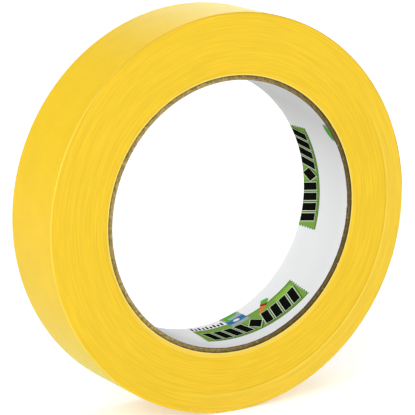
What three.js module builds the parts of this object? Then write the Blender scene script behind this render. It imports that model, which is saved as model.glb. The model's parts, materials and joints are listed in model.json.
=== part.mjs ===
// A roll of masking tape, standing on its rim.
// Units are millimetres. +Z is up, the roll's axis lies along Y, and the front face looks towards -Y.
// The origin is on the floor, under the middle of the roll.
//
// The core is a paper tube wound from plies: a white printed liner inside and three chipboard plies.
// The tape is wound on the core. Its free end is a strip in the outermost turn that peels away,
// made of short lengths that hinge on each other, so that it can lift and curl.
import * as THREE from "three";

// Driving dimensions
const BORE_RADIUS = 38.1; // a three-inch core
const LINER_THICKNESS = 0.14;
const CHIPBOARD_THICKNESS = 0.42;
const CORE_WIDTH = 23.6; // a little narrower than the tape, so its edges sit just inside the faces
const TAPE_WIDTH = 24;
const TAPE_THICKNESS = 0.13;
const ROLL_RADIUS = 57;

// The free end: how far round the rim it is hinged, how long it is, and the play around it
const FREE_END_LENGTHS = 6;
const FACETS_PER_LENGTH = 2;
const FREE_END_ROOT_FACET = 12.5; // facets round from +X, towards the top
const HINGE_GAP = 0.3;
const GLUE_GAP = 0.03; // between the free end and the turn under it

// Every ring is a prism with this many flat sides, with one side flat on the floor.
const FACETS = 96;
const FACET_ANGLE = (2 * Math.PI) / FACETS;
const CORE_RADIUS = BORE_RADIUS + LINER_THICKNESS + 3 * CHIPBOARD_THICKNESS;
const AXIS_HEIGHT = ROLL_RADIUS * Math.cos(FACET_ANGLE / 2);

const tapePaper = { color: 0xf4cc36, roughness: 0.62, metalness: 0 };
const chipboard = { color: 0x8c7a54, roughness: 0.9, metalness: 0 };
const linerPaper = { color: 0xe6e6e8, roughness: 0.5, metalness: 0 };

// The angle of a facet's corner. Corner numbers end in .5, and whole numbers are facet middles.
const cornerAngle = (corner) => corner * FACET_ANGLE;

// The point of a faceted ring at this angle. radius is the radius of the ring's corners.
function pointOnRing(radius, angle) {
  const middle = Math.round(angle / FACET_ANGLE) * FACET_ANGLE;
  const reach = (radius * Math.cos(FACET_ANGLE / 2)) / Math.cos(angle - middle);
  return new THREE.Vector2(reach * Math.cos(angle), reach * Math.sin(angle));
}

// The points of a faceted arc between two angles: both ends, and each corner between them.
function arcPoints(radius, startAngle, endAngle) {
  const points = [pointOnRing(radius, startAngle)];
  const firstCorner = Math.floor(startAngle / FACET_ANGLE + 0.5 + 1e-6) + 0.5;
  for (let corner = firstCorner; cornerAngle(corner) < endAngle - 1e-6; corner += 1) {
    points.push(ringCorner(radius, corner));
  }
  points.push(pointOnRing(radius, endAngle));
  return points;
}

function ringCorner(radius, corner) {
  return new THREE.Vector2(
    radius * Math.cos(cornerAngle(corner)),
    radius * Math.sin(cornerAngle(corner)),
  );
}

function ringCorners(radius) {
  const corners = [];
  for (let facet = 0; facet < FACETS; facet += 1) {
    corners.push(ringCorner(radius, facet + 0.5));
  }
  return corners;
}

// A solid with this outline and hole, as wide as width along the roll's axis.
function solid(outline, hole, width) {
  const shape = new THREE.Shape(outline);
  if (hole) {
    shape.holes.push(new THREE.Path(hole));
  }
  const geometry = new THREE.ExtrudeGeometry(shape, { depth: width, bevelEnabled: false });
  return geometry.translate(0, 0, -width / 2);
}

function piece(name, geometry, finish) {
  const mesh = new THREE.Mesh(geometry, new THREE.MeshStandardMaterial(finish));
  mesh.name = name;
  return mesh;
}

function ply(name, innerRadius, thickness, finish) {
  const outline = ringCorners(innerRadius + thickness);
  return piece(name, solid(outline, ringCorners(innerRadius), CORE_WIDTH), finish);
}

function core() {
  const parts = [ply("core_liner_ply", BORE_RADIUS, LINER_THICKNESS, linerPaper)];
  ["inner", "middle", "outer"].forEach((place, i) => {
    const innerRadius = BORE_RADIUS + LINER_THICKNESS + i * CHIPBOARD_THICKNESS;
    parts.push(ply(`core_${place}_ply`, innerRadius, CHIPBOARD_THICKNESS, chipboard));
  });
  return parts;
}

// The wound tape, with a shallow pocket in its rim where the free end lies.
function woundTape() {
  const rootAngle = cornerAngle(FREE_END_ROOT_FACET);
  const tipAngle = rootAngle - FREE_END_LENGTHS * FACETS_PER_LENGTH * FACET_ANGLE;
  const pocketRadius = ROLL_RADIUS - TAPE_THICKNESS - GLUE_GAP;
  const outline = [
    ...arcPoints(pocketRadius, tipAngle, rootAngle),
    ...arcPoints(ROLL_RADIUS, rootAngle, tipAngle + 2 * Math.PI),
  ];
  return piece("tape_wound_body", solid(outline, ringCorners(CORE_RADIUS), TAPE_WIDTH), tapePaper);
}

// One length of the free end, counted from the hinge on the roll.
function freeEndLength(number) {
  const gapAngle = HINGE_GAP / ROLL_RADIUS / 2;
  const facet = FREE_END_ROOT_FACET - (number - 1) * FACETS_PER_LENGTH;
  const high = cornerAngle(facet) - gapAngle;
  const low = cornerAngle(facet - FACETS_PER_LENGTH) + gapAngle;
  const outline = [
    ...arcPoints(ROLL_RADIUS, low, high),
    ...arcPoints(ROLL_RADIUS - TAPE_THICKNESS, low, high).reverse(),
  ];
  return piece(`tape_end_${number}`, solid(outline, null, TAPE_WIDTH), tapePaper);
}

function tapeRoll() {
  const roll = new THREE.Group();
  roll.add(...core(), woundTape());
  for (let number = 1; number <= FREE_END_LENGTHS; number += 1) {
    roll.add(freeEndLength(number));
  }
  // The shapes are drawn in X and Y and stand up in X and Z.
  roll.rotation.x = Math.PI / 2;
  roll.position.z = AXIS_HEIGHT;
  return roll;
}

const maskingTapeRoll = new THREE.Group();
maskingTapeRoll.add(tapeRoll());

export default maskingTapeRoll;
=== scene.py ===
"""The looks of a roll of masking tape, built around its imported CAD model.

Metres, +Z up. The roll stands on its rim, with its axis along Y and its front face towards -Y.
Angles go round the axis from +X towards +Z.
"""
import json
import math

import bmesh
import bpy
import numpy as np
from mathutils import Matrix, Vector
from mathutils.geometry import delaunay_2d_cdt


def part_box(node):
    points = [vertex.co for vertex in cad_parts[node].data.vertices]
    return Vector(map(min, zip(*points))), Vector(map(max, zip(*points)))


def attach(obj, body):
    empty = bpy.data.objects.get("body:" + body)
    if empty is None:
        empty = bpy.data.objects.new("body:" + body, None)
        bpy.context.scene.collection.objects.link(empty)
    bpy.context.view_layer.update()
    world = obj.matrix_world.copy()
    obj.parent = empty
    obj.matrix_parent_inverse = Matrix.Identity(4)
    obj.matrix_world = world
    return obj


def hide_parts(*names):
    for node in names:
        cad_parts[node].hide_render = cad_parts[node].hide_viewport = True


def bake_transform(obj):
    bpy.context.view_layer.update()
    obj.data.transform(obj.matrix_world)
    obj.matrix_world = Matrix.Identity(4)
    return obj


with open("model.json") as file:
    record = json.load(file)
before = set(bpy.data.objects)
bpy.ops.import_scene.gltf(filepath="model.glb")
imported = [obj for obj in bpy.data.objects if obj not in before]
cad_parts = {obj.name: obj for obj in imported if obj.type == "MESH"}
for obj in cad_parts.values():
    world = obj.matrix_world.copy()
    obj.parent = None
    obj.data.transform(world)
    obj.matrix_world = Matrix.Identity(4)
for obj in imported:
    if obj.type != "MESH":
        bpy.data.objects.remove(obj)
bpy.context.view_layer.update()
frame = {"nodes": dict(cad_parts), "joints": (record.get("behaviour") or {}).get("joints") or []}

MM = 0.001
TAU = 2 * math.pi

# ---------------------------------------------------------------- sizes from the frame


def axis_height():
    low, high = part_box("tape_wound_body")
    return (low.z + high.z) / 2


AXIS_Z = axis_height()


def ring_radii(node):
    """The innermost and outermost corner of a CAD ring, measured from the roll's axis."""
    points = [v.co for v in frame["nodes"][node].data.vertices]
    radii = [math.hypot(p.x, p.z - AXIS_Z) for p in points]
    return min(radii), max(radii)


def half_width(node):
    low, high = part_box(node)
    return (high.y - low.y) / 2


def hinge_angles():
    """Where the free end's hinges lie round the rim, from its root to its tip."""
    places = [j["pos_m"] for j in frame["joints"]]
    return [math.atan2(p[2] - AXIS_Z, p[0]) for p in places]


CORE_RADIUS, ROLL_RADIUS = ring_radii("tape_wound_body")
BORE_RADIUS, LINER_OUTSIDE = ring_radii("core_liner_ply")
TAPE_HALF = half_width("tape_wound_body")
CORE_HALF = half_width("core_inner_ply")
HINGES = hinge_angles()
LENGTH_ANGLE = HINGES[0] - HINGES[1]
ROOT_ANGLE = HINGES[0]
TIP_ANGLE = HINGES[-1] - LENGTH_ANGLE

# ---------------------------------------------------------------- driving values

# The tape
TAPE_THICKNESS = 0.13 * MM
TURNS = round((ROLL_RADIUS - CORE_RADIUS) / TAPE_THICKNESS)
PITCH = (ROLL_RADIUS - CORE_RADIUS) / TURNS
ROWS = 2 * TURNS  # rows of the spiral's mesh: a valley and a crest for each turn
ROUND_STEPS = 320  # steps round the roll
ROOT_STEP = round((ROOT_ANGLE - TIP_ANGLE) / TAU * ROUND_STEPS)
EDGE_ROUNDING = 0.2 * MM
ROOT_BEND = math.radians(1.2)  # the free end folds sharply where it leaves the roll
ROOT_BEND_STEPS = 6
SOFT_BEND = math.radians(0.6)  # the steps in which it curls elsewhere
STRIP_ROUNDING = 0.03 * MM  # at the edges of the free end's outside
STRIP_CLEARANCE = 0.01 * MM  # between the free end and the turn under it
SIDE, FACE, ADHESIVE = range(3)  # the kinds of face on the tape

# The tape's side, in metres out from its flat
SIDE_REST = -0.06 * MM
VALLEY_DEPTH = 0.012 * MM
CORE_DIP = 0.16 * MM  # the innermost turns lie a little deeper
# How the wound edges wander: turns from one wave to the next, and its height
WINDING_WAVES = ((16, 0.009 * MM), (4.2, 0.007 * MM))
# The same in short arcs: turns from one to the next, how many lie in one round, and their height
WINDING_ARCS = ((6, 5, 0.004 * MM), (3.4, 8, 0.009 * MM), (2.1, 14, 0.01 * MM))

# The streaks in its colour: how many to a metre outwards, how often they change round the roll,
# and their share
TAPE_STREAKS = ((1400, 1.5, 0.1), (2400, 3, 0.4), (3800, 5, 0.5))

# One turn stands proud of the side at the lower right, with a groove beside it
RIDGE_RADIUS = 0.905 * ROLL_RADIUS
CREST_RADIUS = RIDGE_RADIUS + 0.15 * MM
GROOVE_RADIUS = RIDGE_RADIUS - 0.45 * MM
RIDGE_BREADTH = 0.28 * MM
CREST_HEIGHT = 0.07 * MM
GROOVE_DEPTH = 0.05 * MM
RIDGE_SIDE = (0.8, 0.6)  # right and down, towards the ridge's middle
RIDGE_FADE = (0.2, 0.7)

# The chipboard core
BOARD_STEPS = 480
BOARD_ROUNDING = 0.05 * MM
BOARD_DROP = 0.07 * MM  # at the corners of a ply's cut edge
BOARD_ROUGHNESS = 0.05 * MM  # of the cut edge

# The liner. Lengths on the unrolled liner are in mm: round the bore from +X, and along the axis.
AROUND = BORE_RADIUS / MM  # mm to a radian
LINER_HALF = CORE_HALF / MM
CUT_ANGLE = 75.0  # where the liner is unrolled, clear of every label
LINER_LEFT = math.radians(CUT_ANGLE) * AROUND
LINER_RIGHT = math.radians(CUT_ANGLE + 360) * AROUND
LINER_COLUMNS = 144
LINER_ROWS = 6
SEAM_TILT = math.radians(-8.5)  # wound from a strip, so its seam climbs across the bore
SEAM_REAR = math.radians(60.0) * AROUND  # where the seam meets the back edge
SEAM_LIFT = 0.07  # a paper edge under the overlap
SEAM_STEP = 0.12  # how far in front of the seam the lift begins
SEAM_FADE = 7  # how far behind the seam it has gone
SEAM_LINES = (-SEAM_STEP, 0, 2, 4.5, SEAM_FADE)  # where the mesh is cut along the seam
SEAM_REACH = (-60, 170)  # how far those cuts run to each side of where the seam meets the back edge
WORN_EDGE = 0.45  # where the knife that cut the core has rubbed the paper off the board
WORN_DEPTH = 0.09
WORN_STEPS = 700
WORN_RAGGED = 0.04  # how far the paper's torn edge wanders from point to point
WORN_WANDER = (2.2, 0.05)  # and slowly: from one wave to the next, and its height

# Painted shade on the liner and its print: whitest at the lower right of its back edge, where most
# light falls, and a little greyer away from there
PAINTED_LIGHT_SIDE = (0.85, 0.53)  # right and down, towards the whitest part
PAINTED_LIGHT_BACK = 14  # how fast it whitens towards the back edge, to a metre
PAINTED_LIGHT_FADE = (0.25, 1.0)

# The printed labels, in mm
LABEL_LENGTH = 34.0
LABEL_HEIGHT = 12.0
# For each label: where its middle lies, in degrees round the bore and mm behind the middle of the
# bore's width, then its turn from the line round the bore, in degrees, and its stretch along it
LABELS = [
    (291.4, -0.2, -7.5, 1.02),
    (6.2, 9.2, 1.3, 0.94),
    (37.4, -20.9, 2.0, 0.94),
    (200.0, 1.1, -7.5, 1.0),
    (125.0, -6.5, -7.5, 1.0),
]

# Seeds for the random draws
SIDE_SEED = 11
BOARD_SEED = 30
WORN_SEED = 51

# The camera
CAMERA_AZIMUTH = math.radians(-30.06)
CAMERA_ELEVATION = math.radians(12.48)
CAMERA_DISTANCE = 0.6807
CAMERA_LENS = 208.6
ROLL_RIGHT_OF_CENTRE = 1.34 * MM

# The studio
LIGHTS = [  # name, place, size and watts
    ("overhead", (0.1, 0.4, 2.0), 3.0, 26),
    ("front_left", (-1.2, -1.35, 1.15), 1.5, 38.5),
    ("low_left", (-1.5, 0.0, 0.09), 0.2, 3.1),
    ("behind", (1.1, 2.2, 0.7), 1.3, 16),
    ("right", (1.7, 0.1, 0.6), 1.2, 8),
]
LIGHT_TARGET = (0, 0, 0.05)
SURROUND_LIGHT = 0.2  # how strongly the white surroundings light the roll
SURROUND_LOOK = 0.85  # how bright they look behind it
FLOOR_HALF = 20
FLOOR_GLOW = (0.42, 0.6)  # near the roll and far from it
FLOOR_GLOW_REACH = (1, 4)  # where near ends and where far begins

# ---------------------------------------------------------------- colours


def srgb(red, green, blue):
    """A colour given as 0 to 255 display values, as the linear colour a shader takes."""
    parts = [c / 255 for c in (red, green, blue)]
    return tuple(c / 12.92 if c <= 0.04045 else ((c + 0.055) / 1.055) ** 2.4 for c in parts)


def shade(colour, factor):
    return tuple(min(1.0, c * factor) for c in colour)


TAPE_YELLOW = shade(srgb(247, 205, 44), 0.82)
# the colour of painted highlights on the tape's side
PAINTED_HIGHLIGHT = shade(srgb(255, 233, 128), 0.84)
EDGE_SHADOW = srgb(192, 144, 24)
ADHESIVE_YELLOW = srgb(236, 208, 112)
PALE_FIBRE = srgb(190, 168, 126)
BOARDS = {  # dark and light
    "inner_board": (srgb(132, 114, 66), srgb(182, 162, 104)),
    "middle_board": (srgb(122, 104, 60), srgb(170, 150, 92)),
    # The outer board is darker partly for its own tone and partly as painted shade in the gap where
    # the core meets the tape.
    "outer_board": (srgb(96, 80, 46), srgb(144, 124, 74)),
    "bare_board": (srgb(112, 84, 52), srgb(152, 120, 80)),
}
PAPER = srgb(213, 214, 215)
INKS = {
    "ink_white": srgb(206, 208, 206),
    "ink_pale_green": srgb(190, 202, 180),
    "ink_green": srgb(110, 148, 64),
    "ink_bright_green": srgb(122, 172, 52),
    "ink_leaf_green": srgb(82, 156, 60),
    "ink_deep_green": srgb(70, 104, 34),
    "ink_black": srgb(14, 15, 12),
    "ink_blue": srgb(48, 108, 146),
    "ink_grey": srgb(150, 156, 166),
    "ink_orange": srgb(190, 118, 46),
    "ink_red": srgb(146, 30, 24),
}
LINER_FINISHES = ["paper", "bare_board", *INKS]


# ---------------------------------------------------------------- camera, floor and light


def make_camera():
    back = Vector((
        math.sin(CAMERA_AZIMUTH) * math.cos(CAMERA_ELEVATION),
        -math.cos(CAMERA_AZIMUTH) * math.cos(CAMERA_ELEVATION),
        math.sin(CAMERA_ELEVATION),
    ))
    data = bpy.data.cameras.new("camera")
    data.sensor_width = 36
    data.lens = CAMERA_LENS
    data.clip_start = 0.01
    data.clip_end = 100
    camera = bpy.data.objects.new("camera", data)
    camera.rotation_mode = "QUATERNION"
    camera.rotation_quaternion = (-back).to_track_quat("-Z", "Y")
    right = camera.rotation_quaternion @ Vector((1, 0, 0))
    centre = Vector((0, 0, AXIS_Z))
    camera.location = centre + back * CAMERA_DISTANCE - right * ROLL_RIGHT_OF_CENTRE
    bpy.context.scene.collection.objects.link(camera)
    bpy.context.scene.camera = camera


def make_area_light(name, place, size, power):
    data = bpy.data.lights.new(name, "AREA")
    data.shape = "DISK"
    data.size = size
    data.energy = power
    light = bpy.data.objects.new(name, data)
    light.location = place
    light.rotation_mode = "QUATERNION"
    light.rotation_quaternion = (Vector(place) - Vector(LIGHT_TARGET)).to_track_quat("Z", "Y")
    bpy.context.scene.collection.objects.link(light)


def make_world():
    """Dim white light from all round, behind a backdrop that looks nearly white."""
    world = bpy.data.worlds.new("studio")
    world.use_nodes = True
    tree = world.node_tree
    background = tree.nodes["Background"]
    background.inputs["Color"].default_value = (1, 1, 1, 1)
    path = tree.nodes.new("ShaderNodeLightPath")
    strength = tree.nodes.new("ShaderNodeMapRange")
    strength.inputs["To Min"].default_value = SURROUND_LIGHT
    strength.inputs["To Max"].default_value = SURROUND_LOOK
    tree.links.new(path.outputs["Is Camera Ray"], strength.inputs["Value"])
    tree.links.new(strength.outputs[0], background.inputs["Strength"])
    bpy.context.scene.world = world


def make_floor():
    mesh = bpy.data.meshes.new("floor")
    corners = box(-FLOOR_HALF, FLOOR_HALF, -FLOOR_HALF, FLOOR_HALF)
    mesh.from_pydata([(x, y, 0) for x, y in corners], [], [(0, 1, 2, 3)])
    floor = bpy.data.objects.new("floor", mesh)
    mesh.materials.append(plain_floor())
    bpy.context.scene.collection.objects.link(floor)


# ---------------------------------------------------------------- material tools


class Material:
    """A material with short calls for the nodes that this scene uses."""

    def __init__(self, name):
        self.material = bpy.data.materials.new(name)
        self.material.use_nodes = True
        self.tree = self.material.node_tree
        self.shader = self.tree.nodes["Principled BSDF"]
        self.place = None
        self.ring = None

    def node(self, kind, **settings):
        made = self.tree.nodes.new(kind)
        for key, value in settings.items():
            setattr(made, key, value)
        return made

    def feed(self, socket, value):
        """Links a socket to another, or sets a plain number or vector on it."""
        if isinstance(value, bpy.types.NodeSocket):
            self.tree.links.new(value, socket)
        else:
            socket.default_value = value

    def set(self, **values):
        """Sets the shader's own sockets, with spaces written as underscores."""
        for key, value in values.items():
            self.feed(self.shader.inputs[key.replace("_", " ")], value)

    def maths(self, operation, first, second=0.0):
        made = self.node("ShaderNodeMath", operation=operation)
        self.feed(made.inputs[0], first)
        self.feed(made.inputs[1], second)
        return made.outputs[0]

    def plus(self, first, second):
        return self.maths("ADD", first, second)

    def minus(self, first, second):
        return self.maths("SUBTRACT", first, second)

    def times(self, first, second):
        return self.maths("MULTIPLY", first, second)

    def vector(self, x, y, z):
        made = self.node("ShaderNodeCombineXYZ")
        for socket, value in zip(made.inputs, (x, y, z)):
            self.feed(socket, value)
        return made.outputs[0]

    def position(self):
        """The x, y and z of the point, in metres in the frame at rest."""
        if self.place is None:
            coordinates = self.node("ShaderNodeTexCoord")
            split = self.node("ShaderNodeSeparateXYZ")
            self.feed(split.inputs[0], coordinates.outputs["Object"])
            self.place = split.outputs
        return self.place

    def distance(self, across, up):
        """The length of the line with these two legs."""
        return self.maths("SQRT", self.plus(self.times(across, across), self.times(up, up)))

    def round_the_axis(self):
        """The distance from the roll's axis, and the cosine and sine of the angle round it."""
        if self.ring is None:
            x, _, z = self.position()
            height = self.minus(z, AXIS_Z)
            radius = self.distance(x, height)
            cosine, sine = (self.maths("DIVIDE", leg, radius) for leg in (x, height))
            self.ring = radius, cosine, sine
        return self.ring

    def towards(self, right, down):
        """How far a point lies towards this side of the roll, and negative on the other side."""
        _, cosine, sine = self.round_the_axis()
        return self.minus(self.times(cosine, right), self.times(sine, down))

    def noise(self, vector, scale=1.0, detail=2.0, roughness=0.5):
        made = self.node("ShaderNodeTexNoise")
        self.feed(made.inputs["Vector"], vector)
        made.inputs["Scale"].default_value = scale
        made.inputs["Detail"].default_value = detail
        made.inputs["Roughness"].default_value = roughness
        return made.outputs["Fac"]

    def cloud(self, scale, detail, roughness=0.5):
        """Noise that is even in every direction."""
        return self.noise(self.vector(*self.position()), scale, detail, roughness)

    def streaks(self, per_metre, round_the_roll, detail):
        """Noise that is drawn out along the turns of the roll."""
        radius, cosine, sine = self.round_the_axis()
        around = self.times(cosine, round_the_roll), self.times(sine, round_the_roll)
        return self.noise(self.vector(self.times(radius, per_metre), *around), detail=detail)

    def span(self, value, low, high, out_low=0.0, out_high=1.0):
        """value, moved from the range low to high into another range, and kept inside it."""
        made = self.node("ShaderNodeMapRange")
        for socket, number in zip(made.inputs[:5], (value, low, high, out_low, out_high)):
            self.feed(socket, number)
        return made.outputs[0]

    def line(self, value, middle, half, soft_half, strength):
        """strength where value is within half of middle, fading to 0 at soft_half."""
        away = self.maths("ABSOLUTE", self.minus(value, middle))
        return self.span(away, soft_half, half, 0, strength)

    def mix(self, share, first, second):
        made = self.node("ShaderNodeMix", data_type="RGBA")
        self.feed(made.inputs["Factor"], share)
        for socket, colour in ((made.inputs[6], first), (made.inputs[7], second)):
            self.feed(socket, colour if isinstance(colour, bpy.types.NodeSocket) else (*colour, 1))
        return made.outputs[2]

    def bump(self, height, strength, distance):
        made = self.node("ShaderNodeBump")
        made.inputs["Strength"].default_value = strength
        made.inputs["Distance"].default_value = distance
        self.feed(made.inputs["Height"], height)
        self.set(Normal=made.outputs[0])


# ---------------------------------------------------------------- materials


def plain_floor():
    m = Material("pale_floor")
    x, y, _ = m.position()
    grain = m.noise(m.vector(x, y, 0), scale=40)
    m.set(
        Base_Color=m.mix(grain, (0.68, 0.68, 0.68), (0.72, 0.72, 0.72)),
        Roughness=0.9,
        Specular_IOR_Level=0.1,
        Emission_Color=(1, 1, 1, 1),
        Emission_Strength=m.span(m.distance(x, y), *FLOOR_GLOW_REACH, *FLOOR_GLOW),
    )
    return m.material


def tape_side():
    """The side of the wound tape: the cut edges of its turns, with fine streaks along them."""
    m = Material("tape_side")
    blend = 0.0
    for per_metre, round_the_roll, share in TAPE_STREAKS:
        blend = m.plus(blend, m.times(m.streaks(per_metre, round_the_roll, 1), share))
    colour = m.mix(m.span(blend, 0.42, 0.58), shade(TAPE_YELLOW, 0.935), shade(TAPE_YELLOW, 1.035))
    colour = ridge_shading(m, painted_edge_light(m, colour))
    m.set(Base_Color=colour, Roughness=0.7, Specular_IOR_Level=0.22)
    return m.material


def painted_edge_light(m, colour):
    """Paints highlights and a shadow on the side's edges: a pale line along the innermost turns, a
    wider pale band of them at the bottom, a highlight along the outer edge at the left, and a
    shadow line along it at the top.
    """
    radius, cosine, sine = m.round_the_axis()
    inner_line = m.span(radius, CORE_RADIUS + 0.45 * MM, CORE_RADIUS + 0.15 * MM, 0, 0.75)
    inner_band = m.span(radius, CORE_RADIUS + 1.5 * MM, CORE_RADIUS + 0.9 * MM, 0, 0.24)
    outer_line = m.span(radius, ROLL_RADIUS - 0.32 * MM, ROLL_RADIUS - 0.2 * MM, 0, 0.3)
    shadow_line = m.span(radius, ROLL_RADIUS - 0.45 * MM, ROLL_RADIUS - 0.25 * MM, 0, 0.65)
    low = m.span(sine, -0.45, -0.85)
    high = m.span(sine, 0.45, 0.8)
    left = m.span(cosine, -0.1, -0.7)
    # painted highlights: the innermost turns, wider at the bottom, and the outer edge at the left
    highlight = m.maths("MAXIMUM", inner_line, m.times(inner_band, low))
    highlight = m.maths("MAXIMUM", highlight, m.times(outer_line, left))
    colour = m.mix(highlight, colour, PAINTED_HIGHLIGHT)
    return m.mix(m.times(shadow_line, high), colour, EDGE_SHADOW)


def ridge_shading(m, colour):
    """Paints a highlight on the turn that stands proud and on the turns just outside it, and
    painted shade in the groove beside it, all at the lower right.
    """
    radius, _, _ = m.round_the_axis()
    here = m.span(m.towards(*RIDGE_SIDE), *RIDGE_FADE)
    crest = m.line(radius, CREST_RADIUS, 0.1 * MM, 0.35 * MM, 0.26)
    groove = m.line(radius, GROOVE_RADIUS, 0.1 * MM, 0.3 * MM, 0.5)
    outside = m.span(radius, RIDGE_RADIUS, RIDGE_RADIUS + 0.5 * MM, 0, 0.1)
    # painted highlight on the crest and painted shade in the groove
    colour = m.mix(m.times(crest, here), colour, PAINTED_HIGHLIGHT)
    colour = m.mix(m.times(groove, here), colour, shade(TAPE_YELLOW, 0.78))
    return m.mix(m.times(outside, here), colour, PAINTED_HIGHLIGHT)


def tape_face():
    """The outside of the tape: smooth crepe paper, its fine wrinkles across the tape."""
    m = Material("tape_face")
    _, y, _ = m.position()
    _, cosine, sine = m.round_the_axis()
    around = m.times(m.maths("ARCTAN2", sine, cosine), ROLL_RADIUS * 1500)
    crepe = m.noise(m.vector(around, m.times(y, 260), 0), detail=3)
    mottle = m.plus(m.times(crepe, 0.35), m.times(m.cloud(120, 3), 0.65))
    dark, light = shade(TAPE_YELLOW, 0.89), shade(TAPE_YELLOW, 0.97)
    m.set(
        Base_Color=m.mix(m.span(mottle, 0.3, 0.7), dark, light),
        Roughness=m.span(crepe, 0.3, 0.7, 0.42, 0.52),
        Specular_IOR_Level=0.08,
        Sheen_Weight=0.3,
        Sheen_Roughness=0.3,
        Sheen_Tint=(0.45, 1.0, 0.4, 1),
    )
    m.bump(crepe, 0.25, 0.05 * MM)
    return m.material


def adhesive_face():
    """The sticky side of the tape: paler and glossier than its outside."""
    m = Material("adhesive_face")
    ripple = m.cloud(700, 3)
    m.set(
        Base_Color=m.mix(ripple, shade(ADHESIVE_YELLOW, 0.9), ADHESIVE_YELLOW),
        Roughness=m.span(ripple, 0.3, 0.7, 0.18, 0.34),
    )
    m.bump(ripple, 0.2, 0.03 * MM)
    return m.material


def chipboard(name, dark, light):
    """Grey-brown recycled board, with fibres and flecks on its cut edge, and darker to one side."""
    m = Material(name)
    x, y, z = m.position()
    flecks = m.cloud(1000, 4, 0.7)
    blend = m.plus(m.times(m.streaks(4000, 40, 3), 0.4), m.times(flecks, 0.6))
    colour = m.mix(m.span(blend, 0.42, 0.58), dark, light)
    # darker towards the right and lower right
    darker_side = m.span(m.towards(1, 0.3), -0.5, 0.7, 0, 0.85)
    colour = m.mix(darker_side, colour, m.mix(flecks, shade(dark, 0.2), shade(dark, 0.6)))
    pale_fibre = m.noise(m.vector(z, x, y), scale=650, detail=1)
    colour = m.mix(m.span(pale_fibre, 0.7, 0.76, 0, 0.6), colour, PALE_FIBRE)
    m.set(Base_Color=colour, Roughness=0.92, Specular_IOR_Level=0.12)
    m.bump(flecks, 0.5, 0.06 * MM)
    return m.material


def printed_paper(name, colour, mottle, shine):
    """Coated liner paper, or an ink on it, with painted shade that makes it a little greyer at the
    top, the left and the front.
    """
    m = Material(name)
    _, y, _ = m.position()
    fibre = m.cloud(500, 4)
    # painted shade: greyer away from the lower right and the back edge, where the light falls
    painted_light = m.span(m.plus(m.towards(*PAINTED_LIGHT_SIDE), m.times(y, PAINTED_LIGHT_BACK)), *PAINTED_LIGHT_FADE)
    tone = m.plus(m.times(painted_light, 1 - mottle), m.times(fibre, mottle))
    m.set(
        Base_Color=m.mix(tone, shade(colour, 0.77), shade(colour, 1.14)),
        Roughness=m.span(fibre, 0.3, 0.7, 0.5, 0.62),
        Specular_IOR_Level=shine,
    )
    m.bump(fibre, 0.12, 0.03 * MM)
    return m.material


# ---------------------------------------------------------------- mesh tools


class Surface:
    """The points and faces of one piece, as they are gathered."""

    def __init__(self):
        self.points = []
        self.faces = []
        self.kinds = []
        self.smooth = []

    def add(self, corners, kind=0, smooth=False):
        """Adds a face. kind is its place in the piece's list of materials."""
        self.faces.append(tuple(corners))
        self.kinds.append(kind)
        self.smooth.append(smooth)


def on_roll(radius, angle, y):
    """A point at this distance from the roll's axis, in the frame."""
    return (radius * math.cos(angle), y, AXIS_Z + radius * math.sin(angle))


def linked(name, mesh):
    """An object of this mesh, linked to the scene."""
    made = bpy.data.objects.new(name, mesh)
    bpy.context.scene.collection.objects.link(made)
    return made


def piece(name, surface, finishes):
    """An object from a gathered surface. finishes names its materials in order of their kinds."""
    mesh = bpy.data.meshes.new(name)
    mesh.from_pydata([tuple(p) for p in surface.points], [], surface.faces)
    for finish in finishes:
        mesh.materials.append(FINISH[finish])
    mesh.polygons.foreach_set("material_index", np.array(surface.kinds, np.int32))
    mesh.polygons.foreach_set("use_smooth", np.array(surface.smooth, bool))
    work = bmesh.new()
    work.from_mesh(mesh)
    bmesh.ops.delete(work, geom=[v for v in work.verts if not v.link_faces], context="VERTS")
    bmesh.ops.recalc_face_normals(work, faces=work.faces)
    work.to_mesh(mesh)
    work.free()
    mesh.set_sharp_from_angle(angle=math.radians(30))
    return linked(name, mesh)


def distinct(corners):
    """A face's corners with repeats dropped, or None if too few are left for a face."""
    kept = [c for i, c in enumerate(corners) if c != corners[i - 1]]
    return kept if len(set(kept)) == len(kept) and len(kept) > 2 else None


def eased(share):
    return share * share * (3 - 2 * share)


def rise(values, low, high):
    """0 below low, 1 above high, and a smooth step between them."""
    return eased(np.clip((values - low) / (high - low), 0, 1))


def soft_noise(random, positions, spacing):
    """Smooth random numbers from -1 to 1 along a line, which change over about one spacing."""
    knots = random.uniform(-1, 1, int(positions.max() / spacing) + 3)
    cell = np.maximum(positions, 0) / spacing
    index = cell.astype(int)
    share = eased(cell - index)
    return knots[index] * (1 - share) + knots[index + 1] * share


def patchy_noise(random, turns_in, angles, spacing, patches):
    """Smooth random numbers from -1 to 1, in patches a few turns thick and part of a turn long."""
    knots = random.uniform(-1, 1, (int(turns_in.max() / spacing) + 3, patches))
    cell = turns_in / spacing
    row = cell.astype(int)
    down = eased(cell - row)
    turn = (angles / TAU % 1) * patches
    column = turn.astype(int) % patches
    along = eased(turn - turn.astype(int))
    after = (column + 1) % patches
    near = knots[row, column] * (1 - along) + knots[row, after] * along
    far = knots[row + 1, column] * (1 - along) + knots[row + 1, after] * along
    return near * (1 - down) + far * down


# ---------------------------------------------------------------- the wound tape


def across_the_tape():
    """Places across the tape, from its front edge to its back, closer together at the edges."""
    edge = [0, 0.4 * MM, 0.8 * MM, 1.6 * MM]
    middle = np.linspace(3 * MM, 2 * TAPE_HALF - 3 * MM, 12)
    places = edge + list(middle) + [2 * TAPE_HALF - e for e in reversed(edge)]
    return [-TAPE_HALF + p for p in places]


def spiral_angle(step):
    return TIP_ANGLE + TAU * step / ROUND_STEPS


def spiral_radius(row, step):
    return ROLL_RADIUS - PITCH * (row / 2 + step / ROUND_STEPS)


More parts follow.
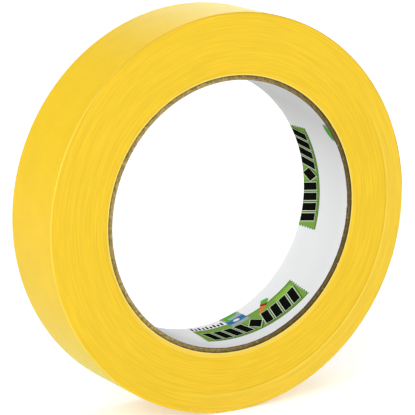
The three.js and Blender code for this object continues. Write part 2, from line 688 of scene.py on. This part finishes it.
def spiral_corner(side, row, step):
    """The number of a corner on the spiral. side is 0 at the front and 1 at the back."""
    if step == ROUND_STEPS:
        row, step = min(row + 2, ROWS), 0
    if spiral_radius(row, step) <= CORE_RADIUS + 1e-9:
        row = ROWS
    return (side * (ROWS + 1) + row) * ROUND_STEPS + step


def side_relief(turns_in, under_surface, angles, random):
    """How far the wound edges stand out from the roll's flat side, in metres.

    turns_in counts the turns in from the free end's tip, and under_surface those from the rim.
    The edges wander slowly, as tape does on a winder, and in short arcs.
    """
    relief = sum(depth * soft_noise(random, turns_in, spacing) for spacing, depth in WINDING_WAVES)
    for spacing, patches, depth in WINDING_ARCS:
        relief += depth * patchy_noise(random, turns_in, angles, spacing, patches)
    radius = ROLL_RADIUS - PITCH * turns_in
    relief -= CORE_DIP * (1 - rise(radius - CORE_RADIUS, 0, 1.5 * MM))
    relief -= EDGE_ROUNDING * (1 - rise(under_surface, -0.5, 2.2))
    right, down = RIDGE_SIDE
    here = rise(right * np.cos(angles) - down * np.sin(angles), *RIDGE_FADE)
    crest = np.exp(-(((radius - CREST_RADIUS) / RIDGE_BREADTH) ** 2))
    groove = np.exp(-(((radius - GROOVE_RADIUS) / RIDGE_BREADTH) ** 2))
    return relief + (CREST_HEIGHT * crest - GROOVE_DEPTH * groove) * here


def add_sides(surface):
    """The two sides of the roll: the cut edges of every turn."""
    row, step = np.meshgrid(np.arange(ROWS + 1), np.arange(ROUND_STEPS), indexing="ij")
    part_turn = step / ROUND_STEPS
    turns_in = row / 2 + part_turn
    under_surface = turns_in - np.where(step < ROOT_STEP, 1 + part_turn, part_turn)
    angles = spiral_angle(step)
    radii = np.maximum(spiral_radius(row, step), CORE_RADIUS)
    x, z = radii * np.cos(angles), AXIS_Z + radii * np.sin(angles)
    for side, direction in enumerate((-1, 1)):
        random = np.random.default_rng(SIDE_SEED + side)
        relief = side_relief(turns_in, under_surface, angles, random)
        y = direction * (TAPE_HALF + SIDE_REST + relief - VALLEY_DEPTH * (row % 2 == 0))
        surface.points.extend(np.stack([x, y, z], axis=-1).reshape(-1, 3))
        for k in range(ROWS):
            for j in range(ROOT_STEP if k < 2 else 0, ROUND_STEPS):
                places = ((k, j), (k, j + 1), (k + 1, j + 1), (k + 1, j))
                face = distinct([spiral_corner(side, *place) for place in places])
                if face:
                    surface.add(face, SIDE)


def add_tread(surface):
    """The tread, one turn from the free end's root round to the turn that the free end lies on."""
    across = across_the_tape()[1:-1]
    columns = []
    for count in range(ROUND_STEPS + 1):
        row, step = 0, ROOT_STEP + count
        if step > ROUND_STEPS:
            row, step = 2, step - ROUND_STEPS
        radius, angle = spiral_radius(row, step), spiral_angle(step)
        first = len(surface.points)
        surface.points.extend(on_roll(radius, angle, y) for y in across)
        between = range(first, len(surface.points))
        columns.append([spiral_corner(0, row, step), *between, spiral_corner(1, row, step)])
    for here, there in zip(columns, columns[1:]):
        for i in range(len(here) - 1):
            surface.add((here[i], there[i], there[i + 1], here[i + 1]), FACE, smooth=True)
    return columns


def add_root_step(surface, upper, lower):
    """The step in the tread where the free end leaves the roll."""
    surface.add((upper[0], upper[1], lower[1], lower[0], spiral_corner(0, 1, ROOT_STEP)))
    for i in range(1, len(upper) - 2):
        surface.add((upper[i], upper[i + 1], lower[i + 1], lower[i]))
    surface.add((upper[-2], upper[-1], spiral_corner(1, 1, ROOT_STEP), lower[-1], lower[-2]))


def add_core_wall(surface):
    """The inside of the innermost turn, against the core."""
    for j in range(ROUND_STEPS):
        places = ((0, j), (0, j + 1), (1, j + 1), (1, j))
        surface.add(spiral_corner(side, ROWS, step) for side, step in places)


def wound_tape():
    """The wound tape as one spiral: rows follow its turns, with a crest and a valley for each."""
    surface = Surface()
    add_sides(surface)
    columns = add_tread(surface)
    add_root_step(surface, columns[0], columns[-1])
    add_core_wall(surface)
    roll = piece("wound_tape", surface, ["side", "face"])
    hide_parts("tape_wound_body")
    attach(roll, "roll")


# ---------------------------------------------------------------- the free end


def strip(name, start, end, step):
    """A length of the free end between two angles, as a closed strip with soft edges."""
    steps = round((start - end) / step)
    across = across_the_tape()
    across[0] += EDGE_ROUNDING
    across[-1] -= EDGE_ROUNDING
    surface = Surface()
    for angle in np.linspace(start, end, steps + 1):
        outer = ROLL_RADIUS - PITCH * (angle - TIP_ANGLE) / TAU
        inner = outer - PITCH + STRIP_CLEARANCE
        for y in across:
            soft = STRIP_ROUNDING if abs(y) == across[-1] else 0
            surface.points.append(on_roll(outer - soft, angle, y))
        surface.points.extend(on_roll(inner, angle, y) for y in reversed(across))
    count = 2 * len(across)
    flat = len(across) - 1
    kinds = [FACE] * flat + [SIDE] + [ADHESIVE] * flat + [SIDE]
    for s in range(steps):
        near, far = s * count, (s + 1) * count
        for i, kind in enumerate(kinds):
            n = (i + 1) % count
            surface.add((near + i, near + n, far + n, far + i), kind, smooth=kind != SIDE)
    for base in (0, steps * count):
        for i in range(flat):
            surface.add((base + i, base + i + 1, base + count - 2 - i, base + count - 1 - i))
    made = piece(name, surface, ["side", "face", "adhesive"])
    return made


def free_end():
    """The free end: strips from the middle of one length to the next's, laid along the rim; only
    the tip is attached, to the last hinge's body.
    """
    before = ROOT_ANGLE
    body = "roll"
    for number, hinge in enumerate(HINGES, start=1):
        after = hinge - LENGTH_ANGLE / 2
        at_root = number == 1
        step = ROOT_BEND / ROOT_BEND_STEPS if at_root else SOFT_BEND
        made = strip(f"free_end_strip_{number}", before, after, step)
        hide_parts(f"tape_end_{number}")
        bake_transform(made)
        before = after
        body = f"free_end_{number}"
    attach(strip("free_end_tip", before, TIP_ANGLE, SOFT_BEND), body)


# ---------------------------------------------------------------- the core


def board_ply(place, number):
    """One chipboard ply of the core, with a rough cut edge at each end."""
    node = f"core_{place}_ply"
    inner, outer = ring_radii(node)
    random = np.random.default_rng(BOARD_SEED + number)
    between = np.linspace(inner, outer, 5)[1:-1]
    radii = [inner, inner + BOARD_ROUNDING, *between, outer - BOARD_ROUNDING, outer]
    drop = [BOARD_DROP, 0, 0, 0, 0, 0, BOARD_DROP]
    rough = random.uniform(-1, 1, (2, len(radii), BOARD_STEPS))
    rough = (rough + np.roll(rough, 1, axis=2)) / 2
    surface = Surface()
    for step in range(BOARD_STEPS):
        angle = TAU * step / BOARD_STEPS
        for side, direction in enumerate((-1, 1)):
            order = range(len(radii)) if side == 0 else reversed(range(len(radii)))
            for i in order:
                out = CORE_HALF - drop[i] - BOARD_ROUGHNESS + BOARD_ROUGHNESS * rough[side, i, step]
                surface.points.append(on_roll(radii[i], angle, direction * out))
    count = 2 * len(radii)
    walls = (len(radii) - 1, count - 1)
    for step in range(BOARD_STEPS):
        near, far = step * count, ((step + 1) % BOARD_STEPS) * count
        for i in range(count):
            n = (i + 1) % count
            surface.add((near + i, near + n, far + n, far + i), smooth=i in walls)
    made = piece(f"core_{place}_board", surface, [f"{place}_board"])
    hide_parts(node)
    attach(made, "roll")


# ---------------------------------------------------------------- outlines in a plane


def area(outline):
    """Twice the area of an outline, and negative if it runs clockwise."""
    return sum(a[0] * b[1] - b[0] * a[1] for a, b in zip(outline, outline[1:] + outline[:1]))


def grown(outline, distance):
    """An outline moved out by a distance on every side, with sharp corners."""
    moved = []
    side = 1 if area(outline) > 0 else -1
    for before, here, after in zip(outline[-1:] + outline[:-1], outline, outline[1:] + outline[:1]):
        a = Vector((here[0] - before[0], here[1] - before[1])).normalized()
        b = Vector((after[0] - here[0], after[1] - here[1])).normalized()
        out = Vector((a.y + b.y, -a.x - b.x)) * side
        out *= distance * 2 / out.length_squared
        moved.append((here[0] + out.x, here[1] + out.y))
    return moved


def turned(outline, degrees, x, y):
    """An outline turned about its own origin, and then moved."""
    turn = Matrix.Rotation(math.radians(degrees), 2)
    return [tuple(Vector((x, y)) + turn @ Vector(p)) for p in outline]


def box(x0, x1, y0, y1):
    return [(x0, y0), (x1, y0), (x1, y1), (x0, y1)]


def ellipse(x, y, width, height, sides=20):
    turns = [TAU * i / sides for i in range(sides)]
    return [(x + width / 2 * math.cos(t), y + height / 2 * math.sin(t)) for t in turns]


def slanted_bar(x, width, low, high, lean):
    """An upright bar whose top is moved sideways by lean."""
    return [(x, low), (x + width, low), (x + width + lean, high), (x + lean, high)]


def serrated_panel(length, height, teeth, tooth):
    """A panel whose short ends are cut with a zigzag, as tape torn on a dispenser is."""
    right = []
    for i in range(2 * teeth + 1):
        y = -height / 2 + height * i / (2 * teeth)
        right.append((length / 2 - (tooth if i % 2 else 0), y))
    left = [(-x, -y) for x, y in right]
    return right + left


# ---------------------------------------------------------------- the printed label, in mm


def stripe_row():
    """A row of bold stripes that lean towards a diamond in the middle."""
    low, high, middle, lean = -4.4, 2.7, 0.1, 1.3
    width, spacing, start = 2.4, 3.25, 2.0
    tip, waist = 0.1, -0.9
    shapes = [[
        (middle - 2.2, waist),
        (middle, low - tip),
        (middle + 2.2, waist),
        (middle, high + tip),
    ]]
    for i in range(4):
        x = start + i * spacing
        shapes.append(slanted_bar(middle - x - width, width, low, high, -lean))
        shapes.append(slanted_bar(middle + x, width, low, high, lean))
    return shapes


def paint_icon():
    """An open paint tin with a brush beside it, as (ink, outline) pairs."""
    tin = [
        ("ink_grey", [(-2.8, 0), (2.8, 0), (3.1, 7.0), (-3.1, 7.0)]),
        ("ink_blue", [(-2.9, 1.6), (2.9, 1.6), (3.05, 4.6), (-3.05, 4.6)]),
        ("ink_white", ellipse(0, 3.1, 2.1, 1.6, 12)),
        ("ink_grey", ellipse(0, 7.2, 6.6, 3.2)),
        ("ink_leaf_green", ellipse(0, 7.3, 5.4, 2.4)),
        ("ink_leaf_green", [(-2.4, 7.2), (-1.1, 7.0), (-1.2, 4.8), (-1.7, 4.2), (-2.3, 4.9)]),
    ]
    brush = [
        ("ink_orange", [(-0.45, 0), (0.45, 0), (0.75, 2.6), (0.5, 4.2), (-0.5, 4.2), (-0.75, 2.6)]),
        ("ink_red", box(-1.15, 1.15, 4.2, 5.4)),
        ("ink_leaf_green", [(-1.15, 5.4), (1.15, 5.4), (1.3, 7.2), (0.3, 7.7), (-1.3, 7.2)]),
    ]
    shapes = [(ink, turned(outline, 8, -2.4, 3.5)) for ink, outline in tin]
    return shapes + [(ink, turned(outline, -38, 3.3, 2.4)) for ink, outline in brush]


def tick_row():
    """A row of small ticks, with every other one a little shorter."""
    places = [-16.6 + i * 1.15 for i in range(9)]
    return [box(x, x + 0.65, 6.5, 8.3 if i % 2 else 8.9) for i, x in enumerate(places)]


def label_shapes():
    """One printed label as (ink, outline) pairs, the last on top, about its middle."""
    teeth, tooth = 9, 0.6
    bold = stripe_row()
    shapes = [
        ("ink_deep_green", serrated_panel(LABEL_LENGTH, LABEL_HEIGHT, teeth, tooth)),
        ("ink_green", serrated_panel(LABEL_LENGTH - 0.2, LABEL_HEIGHT - 1.0, teeth, tooth)),
        ("ink_bright_green", [(8.6, 1.0), (15.4, -3.6), (15.6, 4.6), (9.6, 4.9)]),
    ]
    shapes += paint_icon()
    for outline in bold:
        shadow = [(x + 0.35, y - 0.4) for x, y in grown(outline, 0.3)]
        shapes.append(("ink_deep_green", shadow))
    shapes += [("ink_pale_green", grown(outline, 0.22)) for outline in bold]
    shapes += [("ink_black", outline) for outline in bold + tick_row()]
    return shapes


# ---------------------------------------------------------------- the liner, unrolled, in mm


def on_liner(outline, label):
    """Where a label's outline lies on the unrolled liner."""
    angle, along, tilt, stretch = label
    if angle < CUT_ANGLE:
        angle += 360
    middle = Vector((math.radians(angle) * AROUND, along))
    turn = Matrix.Rotation(math.radians(tilt), 2)
    placed = [middle + turn @ Vector((x * stretch, y)) for x, y in outline]
    return placed if area(placed) > 0 else placed[::-1]


def past_the_edge(placed):
    """Whether an outline lies wholly past the front edge, or wholly past the back edge."""
    return all(abs(p.y) > LINER_HALF and p.y * placed[0].y > 0 for p in placed)


def worn_band():
    """The ragged band along the liner's front edge where the bare board shows."""
    random = np.random.default_rng(WORN_SEED)
    spacing, height = WORN_WANDER
    arcs = np.linspace(LINER_RIGHT, LINER_LEFT, WORN_STEPS)
    slow = height * soft_noise(random, arcs - LINER_LEFT, spacing)
    depth = WORN_EDGE + slow + WORN_RAGGED * random.uniform(-1, 1, WORN_STEPS)
    depth[-1] = depth[0]  # so that the band's ends meet where the liner is unrolled
    ragged = [(arc, d - LINER_HALF) for arc, d in zip(arcs, depth)]
    return [(LINER_LEFT, -LINER_HALF), (LINER_RIGHT, -LINER_HALF), *ragged]


def printed_areas():
    """What lies on the white paper, as (finish, outline) pairs, the last on top."""
    shapes = [
        (ink, on_liner(outline, label))
        for label in LABELS
        for ink, outline in label_shapes()
    ]
    areas = [(ink, placed) for ink, placed in shapes if not past_the_edge(placed)]
    return [*areas, ("bare_board", worn_band())]


def cutting_lines():
    """Lines that cut the liner's mesh: a grid that lets it bend evenly, and some along its seam."""
    arcs = np.linspace(LINER_LEFT, LINER_RIGHT, LINER_COLUMNS + 1)[1:-1]
    rows = np.linspace(-LINER_HALF, LINER_HALF, LINER_ROWS + 1)[1:-1]
    lines = [((arc, -LINER_HALF), (arc, LINER_HALF)) for arc in arcs]
    lines += [((LINER_LEFT, y), (LINER_RIGHT, y)) for y in rows]
    slope = math.tan(SEAM_TILT)
    for behind in SEAM_LINES:
        height = LINER_HALF + behind / math.cos(SEAM_TILT)
        for start in (SEAM_REAR, SEAM_REAR + TAU * AROUND):
            lines.append([(start + reach, height + reach * slope) for reach in SEAM_REACH])
    return lines


def seam_distance(arc, along):
    """How far a point lies behind the seam, and negative in front of it."""
    again = SEAM_REAR + TAU * AROUND  # a full turn on, where the seam leaves the back edge again
    early = 1  # mm before it, to take in the step in front of the seam
    start = again if arc > again - early else SEAM_REAR
    line = LINER_HALF + (arc - start) * math.tan(SEAM_TILT)
    return (along - line) * math.cos(SEAM_TILT)


def liner_radius(arc, along):
    """The liner's inner radius in metres: less at the seam's overlap, and more at the worn edge."""
    behind = seam_distance(arc, along)
    lift = SEAM_LIFT * (1 - rise(behind, 0, SEAM_FADE)) * rise(behind, -SEAM_STEP, 0)
    worn = WORN_DEPTH * rise(-along, LINER_HALF - WORN_EDGE, LINER_HALF)
    return BORE_RADIUS + (worn - lift) * MM


def unrolled_liner():
    """The liner cut into faces: its points, its faces, and the finish of each."""
    points = []

    def numbered(places):
        first = len(points)
        points.extend(Vector(place) for place in places)
        return list(range(first, len(points)))

    regions = [numbered(box(LINER_LEFT, LINER_RIGHT, -LINER_HALF, LINER_HALF))]
    edges = [tuple(numbered(line)) for line in cutting_lines()]
    areas = printed_areas()
    regions += [numbered(outline) for _, outline in areas]
    finishes = ["paper", *(finish for finish, _ in areas)]
    flat, _, cells, _, _, sources = delaunay_2d_cdt(points, edges, regions, 0, 1e-5)
    on_paper = [(cell, source) for cell, source in zip(cells, sources) if 0 in source]
    return flat, [cell for cell, _ in on_paper], [finishes[max(source)] for _, source in on_paper]


# ---------------------------------------------------------------- the liner, rolled up


def close_liner(work):
    """Gives the liner its thickness: a plain outer wall, and a rim at each end."""
    inside = list(work.faces)
    rims = [e for e in work.edges if len(e.link_faces) == 1]
    outer = {}
    for vert in list(work.verts):
        angle = math.atan2(vert.co.z - AXIS_Z, vert.co.x)
        outer[vert] = work.verts.new(on_roll(LINER_OUTSIDE, angle, vert.co.y))
    for face in inside:
        work.faces.new([outer[v] for v in reversed(face.verts)])
    for edge in rims:
        first, second = edge.verts
        rim = work.faces.new([first, second, outer[second], outer[first]])
        rim.material_index = LINER_FINISHES.index("bare_board" if first.co.y < 0 else "paper")
    bmesh.ops.recalc_face_normals(work, faces=work.faces)


def liner():
    """The white paper that lines the bore, with its print cut into the surface as areas of ink."""
    flat, cells, finishes = unrolled_liner()
    work = bmesh.new()
    for arc, along in flat:
        work.verts.new(on_roll(liner_radius(arc, along), arc / AROUND, along * MM))
    work.verts.ensure_lookup_table()
    for cell, finish in zip(cells, finishes):
        face = work.faces.new([work.verts[i] for i in cell])
        face.material_index = LINER_FINISHES.index(finish)
        face.smooth = True
    bmesh.ops.delete(work, geom=[v for v in work.verts if not v.link_faces], context="VERTS")
    bmesh.ops.remove_doubles(work, verts=work.verts, dist=0.002 * MM)
    close_liner(work)
    mesh = bpy.data.meshes.new("printed_liner")
    work.to_mesh(mesh)
    work.free()
    for name in LINER_FINISHES:
        mesh.materials.append(FINISH[name])
    mesh.set_sharp_from_angle(angle=math.radians(25))
    made = linked("printed_liner", mesh)
    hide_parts("core_liner_ply")
    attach(made, "roll")


# ---------------------------------------------------------------- the scene

bpy.context.scene.view_settings.view_transform = "Standard"
make_camera()
make_world()
for light in LIGHTS:
    make_area_light(*light)
make_floor()

FINISH = {
    "side": tape_side(),
    "face": tape_face(),
    "adhesive": adhesive_face(),
    "paper": printed_paper("liner_paper", PAPER, mottle=0.084, shine=0.14),
    **{name: chipboard(name, dark, light) for name, (dark, light) in BOARDS.items()},
    **{name: printed_paper(name, colour, mottle=0.224, shine=0.0) for name, colour in INKS.items()},
}

wound_tape()
free_end()
for number, place in enumerate(("inner", "middle", "outer"), start=1):
    board_ply(place, number)
liner()
